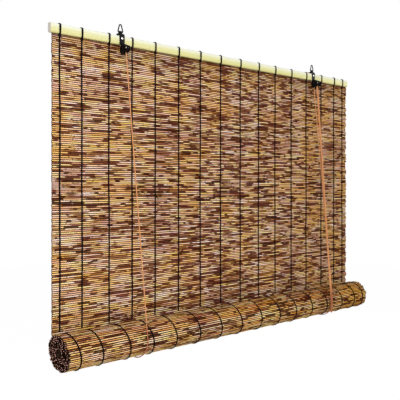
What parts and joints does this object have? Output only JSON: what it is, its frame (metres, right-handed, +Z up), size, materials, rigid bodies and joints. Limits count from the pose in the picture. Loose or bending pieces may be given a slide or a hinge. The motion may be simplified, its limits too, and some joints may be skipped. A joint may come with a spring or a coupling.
{
  "type": "reed roll-up blind",
  "caption": "Reed mat bound by dark threads, hung from a bamboo slat on two ringed steel hangers and partly rolled up, with lift cords over pulleys and a cord lock.",
  "frame": {"origin": "midway between the two rings, on the line where they bear on their hooks", "axes": "+X along the slat to the right as seen from the room, +Y from the room to the wall, +Z up"},
  "size_m": [1.206, 0.1033, 0.8129],
  "materials": {
    "black_steel": "gloss black enamel",
    "bamboo": "planed split bamboo",
    "reed": "raw mottled reed",
    "thread": "twisted dark thread",
    "zinc": "bright zinc",
    "nylon": "natural nylon",
    "cord": "braided tan cord"
  },
  "bodies": {
    "hook_rings": {"left_hook_ring": "black_steel", "right_hook_ring": "black_steel"},
    "headrail": {"top_slat": "bamboo", "reed_mat": "reed", "mat_threads": "thread", "slat_loops": "thread", "left_hanger": "black_steel", "right_hanger": "black_steel", "left_slat_rivet": "zinc", "right_slat_rivet": "zinc", "left_axle": "zinc", "right_axle": "zinc", "left_keeper_pin": "zinc", "right_cam_pin": "zinc", "left_back_cord": "cord", "right_back_cord": "cord", "left_front_cord": "cord", "right_lift_cord": "cord", "transfer_cord": "cord", "right_sheave_cord": "cord", "first_pull_cord": "cord", "second_pull_cord": "cord", "left_tie_knot": "cord", "right_tie_knot": "cord"},
    "cord_loops": {"left_cord_loop": "cord", "right_cord_loop": "cord", "pull_knot": "cord"},
    "roll": {"reed_roll": "reed", "roll_threads": "thread", "bottom_slat": "bamboo"},
    "left_sheave": {"left_sheave": "nylon"},
    "right_sheave_outer": {"right_sheave_outer": "nylon"},
    "right_sheave_inner": {"right_sheave_inner": "nylon"},
    "lock_cam": {"lock_cam": "zinc"}
  },
  "joints": [
    {"name": "blind_swing", "type": "hinge", "parent": "hook_rings", "child": "headrail", "pos_m": [0, 0, -0.0175], "axis": [-1, 0, 0], "range_deg": [0, 60]},
    {"name": "roll_lift", "type": "slide", "parent": "headrail", "child": "cord_loops", "axis": [0, 0, 1], "range_m": [0, 0.52779], "deforming": ["reed_mat", "mat_threads", "left_back_cord", "right_back_cord", "left_front_cord", "right_lift_cord", "first_pull_cord", "second_pull_cord"]},
    {"name": "roll_turn", "type": "hinge", "parent": "cord_loops", "child": "roll", "pos_m": [0, -0.042, -0.7622], "axis": [1, 0, 0], "range_deg": [-721, 0]},
    {"name": "left_sheave_spin", "type": "hinge", "parent": "headrail", "child": "left_sheave", "pos_m": [-0.4, -0.0133, -0.0589], "axis": [1, 0, 0], "range_deg": [-8066, 0]},
    {"name": "right_outer_spin", "type": "hinge", "parent": "headrail", "child": "right_sheave_outer", "pos_m": [0.40265, -0.0133, -0.0589], "axis": [1, 0, 0], "range_deg": [0, 8066]},
    {"name": "right_inner_spin", "type": "hinge", "parent": "headrail", "child": "right_sheave_inner", "pos_m": [0.39735, -0.0133, -0.0589], "axis": [1, 0, 0], "range_deg": [0, 8066]},
    {"name": "lock_release", "type": "hinge", "parent": "headrail", "child": "lock_cam", "pos_m": [0.4, -0.0273, -0.0589], "axis": [1, 0, 0], "range_deg": [0, 50]}
  ],
  "couplings": [
    {"joint": "roll_turn", "follows": "roll_lift", "rad_per_m": -23.81},
    {"joint": "left_sheave_spin", "follows": "roll_lift", "rad_per_m": -266.67},
    {"joint": "right_outer_spin", "follows": "roll_lift", "rad_per_m": 266.67},
    {"joint": "right_inner_spin", "follows": "roll_lift", "rad_per_m": 266.67}
  ]
}
